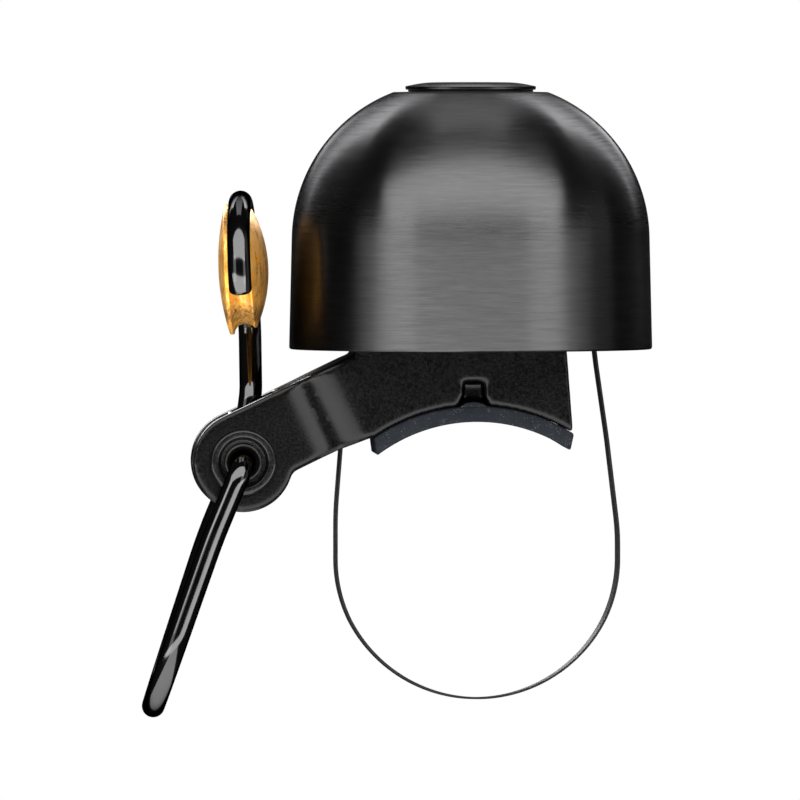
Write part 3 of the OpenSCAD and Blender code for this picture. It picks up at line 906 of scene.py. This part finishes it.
# the arm drops straight from the ring to a knee, then crosses to a foot above the pivot
KNEE_DROP = 6.2 * MM
LEVER_Y = Vector((0, 7.2, 0)) * MM
LEVER_BOW = Vector((-2.9, 0, -7)) * MM
TIP_TWIST = Vector((0.2, 0, 0)) * MM
ARM_Y = 1.9 * MM
ARM_FOOT = Vector((0.9 * MM, ARM_Y, 6.3 * MM))


def ring_frame():
    """A frame at the ring's centre whose Z is the ring's axis."""
    m = Matrix((-RING_FRONT, RING_UP, RING_OUT)).transposed().to_4x4()
    m.translation = RING_CENTRE
    return m


def wire_route():
    """One wire: the ring, the arm, the pivot, and the lever's U."""
    ring = []
    for k in range(RING_STEPS + 1):
        a = math.radians(RING_SWEEP * (1 - k / RING_STEPS))
        ring.append(RING_CENTRE + (-RING_FRONT * math.cos(a) + RING_UP * math.sin(a)) * RING_R)
    rear = ring[-1]
    knee = rear - RING_UP * KNEE_DROP
    foot = PIVOT + ARM_FOOT
    tip = PIVOT + Vector((-math.sin(LEVER_A), 0, -math.cos(LEVER_A))) * LEVER_LEN
    bow = PIVOT + LEVER_BOW
    corners = [rear, knee, foot, PIVOT + Vector((0, ARM_Y, 0)), PIVOT - LEVER_Y, bow - LEVER_Y,
               tip - LEVER_Y - TIP_TWIST, tip + LEVER_Y + TIP_TWIST, bow + LEVER_Y,
               PIVOT + LEVER_Y, PIVOT + Vector((0, 3.15 * MM, 0))]
    bends = [b * MM for b in (0, 2.6, 2.6, 1.8, 2.0, 60, 7.15, 7.15, 60, 2.0, 0)]
    return spaced(ring[:-1] + bent_path(corners, bends, 0.25 * MM), 0.6 * MM)


def striker_wire():
    piece = finish_mesh("striker_wire_bent", tube(wire_route(), WIRE_R, 40, 0.3), "striker",
                        ["striker_wire"], sharp=60)
    dress(piece, black_plating("wire_black", 0.1, (0.095, 0.095, 0.096), (0.115, 0.115, 0.116),
                               0.06, 0.13, 0.05))


def striker_head():
    """A disc with two bowed faces and a round groove for the ring, as (radius, height) in mm."""
    left_r, right_r = 21.85, 12.16
    left_c, right_c = -2.26 + left_r, 2.29 - right_r
    tip_left, tip_right = 6.0, 5.45
    groove_r, groove_c = 1.1, 6.15
    steps = 20

    def face(centre, radius, edge, side):
        rs = [edge * k / steps for k in range(steps + 1)]
        return [(r, centre + side * math.sqrt(radius ** 2 - r ** 2)) for r in rs]

    def groove_angle(tip, side):
        across = tip - groove_c
        return math.degrees(math.atan2(side * math.sqrt(groove_r ** 2 - across ** 2), across)) % 360

    left = face(left_c, left_r, tip_left - 0.06, -1)
    right = face(right_c, right_r, tip_right - 0.05, 1)
    groove = arc(groove_c, 0, groove_r, groove_angle(tip_left, -1), groove_angle(tip_right, 1), 24)
    profile = left + [(tip_left, left[-1][1] + 0.08)] + groove
    profile += [(tip_right, right[-1][1] - 0.04)] + list(reversed(right))
    profile = [(r * MM, h * MM) for r, h in profile]
    piece = finish_mesh("striker_head_brass", lathe(profile, ring_frame(), 144, False), "striker",
                        ["striker_head"], sharp=38)
    dress(piece, striker_brass(RING_CENTRE.z))


# ---------------------------------------------------------------- return spring

# the bracket's arm rises this far from level
ARM_A = math.radians(25.4)
SPRING_R = 1.9 * MM
SPRING_WIRE = 0.25 * MM
SPRING_Y = -2.75 * MM
SPRING_PITCH = 0.66 * MM
SPRING_TURNS = 3
SPRING_STEP = 7.5
SPRING_TAIL = 6.3 * MM
HOOK_TOP = Vector((-1.01, -0.4, 4.3)) * MM
HOOK_REACH = Vector((0, 3.4, 0)) * MM


def return_spring():
    """A torsion spring: a tail along the arm, three turns round the pivot, and a hook on the wire."""
    along = Vector((math.cos(ARM_A), 0, math.sin(ARM_A)))
    across = Vector((-math.sin(ARM_A), 0, math.cos(ARM_A)))
    points = [PIVOT + along * SPRING_TAIL - across * SPRING_R + Vector((0, SPRING_Y, 0))]
    total = 360 * SPRING_TURNS + 90 + math.degrees(ARM_A)
    steps = int(total / SPRING_STEP)
    for k in range(steps + 1):
        t = math.radians(total * k / steps)
        y = SPRING_Y + SPRING_PITCH * t / (2 * math.pi)
        round_pivot = (-along * math.sin(t) - across * math.cos(t)) * SPRING_R
        points.append(PIVOT + round_pivot + Vector((0, y, 0)))
    top = PIVOT + HOOK_TOP
    hook = bent_path([points[-1], top, top + HOOK_REACH], [0, 0.6 * MM, 0], 0.12 * MM)
    route = spaced(points + hook[1:], 0.5 * MM)
    piece = finish_mesh("return_spring_coil", tube(route, SPRING_WIRE, 14, 0.4, 3), None,
                        ["return_spring"], sharp=60)
    dress(piece, plain_metal("spring_steel", (0.42, 0.42, 0.43), (0.62, 0.62, 0.63), 0.22,
                             (3000, 3000, 3000)))
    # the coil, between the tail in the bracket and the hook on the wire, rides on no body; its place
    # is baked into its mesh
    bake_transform(piece)


# ---------------------------------------------------------------- build

PAD_MATERIAL = pad_rubber()
ZINC = plain_metal("zinc_steel", (0.46, 0.47, 0.50), (0.66, 0.67, 0.70), 0.26, (2500, 2500, 2500))
BUSH_MATERIAL = soft_plastic("bush_plastic", (0.003, 0.003, 0.003), (0.007, 0.007, 0.007), 0.15)
LINER_MATERIAL = plain_metal("liner_bronze", (0.030, 0.029, 0.027), (0.07, 0.068, 0.062), 0.26,
                             (4000, 4000, 4000), 0.9)
NYLON = soft_plastic("isolator_nylon", (0.035, 0.035, 0.036), (0.06, 0.06, 0.062), 0.4)
SLEEVE = soft_plastic("sleeve_nylon", (0.60, 0.59, 0.54), (0.72, 0.71, 0.66), 0.42)
GASKET = soft_plastic("gasket_rubber", (0.010, 0.010, 0.010), (0.018, 0.018, 0.018), 0.6)
INSERT = plain_metal("insert_brass", (0.62, 0.45, 0.18), (0.80, 0.62, 0.30), 0.28, (900, 900, 6000))

bell_dome()
crown_cap()
bracket()
saddle_pad()
strap_band()
tension_screw()
strap_barrel()
bearing(BUSH, "bush", "moulded", BUSH_MATERIAL, 128, 5)
bearing(LINER, "liner", "turned", LINER_MATERIAL, 96, 4)
striker_wire()
striker_head()
return_spring()

for node, material in (("crown_gasket", GASKET), ("crown_bush", NYLON), ("crown_washer", ZINC),
                       ("post_insert", INSERT), ("anchor_pin", ZINC), ("tension_washer", ZINC),
                       ("spring_sleeve", SLEEVE)):
    dress(frame["nodes"][node], material)


# ---------------------------------------------------------------- stage

CENTRE = Vector((DOME_X, 0, 0.02))
LAMP_DISTANCE = 0.6
FLOOR_Z = CAD_LOW.z - 0.09
FLOOR_R = 0.25
ROOM_LIGHT = 0.03


def panel(name, azimuth, elevation, width, height, radiance):
    """A soft panel seen from the bell at an azimuth and elevation, of even brightness, facing it."""
    data = bpy.data.lights.new(name, "AREA")
    data.shape = "RECTANGLE"
    data.size, data.size_y = width, height
    data.energy = radiance * math.pi * width * height
    lamp = bpy.data.objects.new(name, data)
    bpy.context.scene.collection.objects.link(lamp)
    out = towards(azimuth, elevation)
    lamp.location = CENTRE + out * LAMP_DISTANCE
    lamp.rotation_mode = "QUATERNION"
    lamp.rotation_quaternion = out.to_track_quat("Z", "Y")
    lamp.visible_camera = False
    return lamp


def low_panel(name, x, start, width, depth, radiance):
    """A soft panel just under the bell and in front of it, facing up."""
    lamp = panel(name, 0, 0, width, depth, radiance)
    lamp.location = (x, -start - depth / 2, CAD_LOW.z - 0.02)
    lamp.rotation_quaternion = Matrix.Rotation(math.pi, 3, "X").to_quaternion()


def floor():
    """A pale round floor. It is one-sided, so that the bell can be seen from below."""
    p = Paint("floor_paint")
    p.set(Roughness=0.8, Emission_Strength=0.75)
    p.bsdf.inputs["Emission Color"].default_value = (1, 1, 1, 1)
    cloud = p.noise(p.at, 6, 3)
    p.link(p.mix(cloud, (0.86, 0.86, 0.86), (0.90, 0.90, 0.90)), p.bsdf.inputs["Base Color"])
    clear = p.node("ShaderNodeBsdfTransparent")
    one_sided = p.node("ShaderNodeMixShader")
    p.link(p.node("ShaderNodeNewGeometry").outputs["Backfacing"], one_sided.inputs[0])
    p.link(p.bsdf.outputs[0], one_sided.inputs[1])
    p.link(clear.outputs[0], one_sided.inputs[2])
    p.link(one_sided.outputs[0], p.tree.nodes["Material Output"].inputs["Surface"])
    bm = bmesh.new()
    bmesh.ops.create_circle(bm, cap_ends=True, segments=96, radius=FLOOR_R)
    mesh = bpy.data.meshes.new("floor")
    bm.to_mesh(mesh)
    bm.free()
    piece = bpy.data.objects.new("floor", mesh)
    bpy.context.scene.collection.objects.link(piece)
    piece.location = (0, 0, FLOOR_Z)
    piece.visible_glossy = False
    dress(piece, p.material)


def world():
    """A white backdrop that lights the bell only a little."""
    scene_world = bpy.data.worlds.new("world")
    bpy.context.scene.world = scene_world
    scene_world.use_nodes = True
    tree = scene_world.node_tree
    background = tree.nodes["Background"]
    path = tree.nodes.new("ShaderNodeLightPath")
    mix = tree.nodes.new("ShaderNodeMix")
    mix.data_type = "RGBA"
    mix.inputs[6].default_value = (ROOM_LIGHT, ROOM_LIGHT, ROOM_LIGHT, 1)
    mix.inputs[7].default_value = (1, 1, 1, 1)
    tree.links.new(path.outputs["Is Camera Ray"], mix.inputs["Factor"])
    tree.links.new(mix.outputs[2], background.inputs["Color"])


floor()
world()
# a panel's name, azimuth, elevation, width, height and radiance; for a low one, the place of its
# middle in X and how far in front of the bar it starts come before its width, depth and radiance
panel("top_front", 0, 40, 1.75, 0.49, 2.9)
panel("front_left", -51, 0, 0.28, 0.36, 0.9)
panel("front_right", 48, 0, 0.26, 0.36, 0.9)
panel("side_right", 88, 2, 0.26, 0.36, 0.22)
low_panel("front_low", 0, 0.07, 1.05, 0.28, 3.1)
low_panel("lever_low", -0.035, -0.015, 0.06, 0.085, 1.7)
panel("rear_left", -152.5, 30, 0.31, 0.40, 7.2)
panel("rear_right", 150.5, 30, 0.31, 0.40, 7.8)
panel("rear_top", 180, 58, 0.36, 0.80, 1.1)

bpy.context.scene.view_settings.view_transform = "Standard"
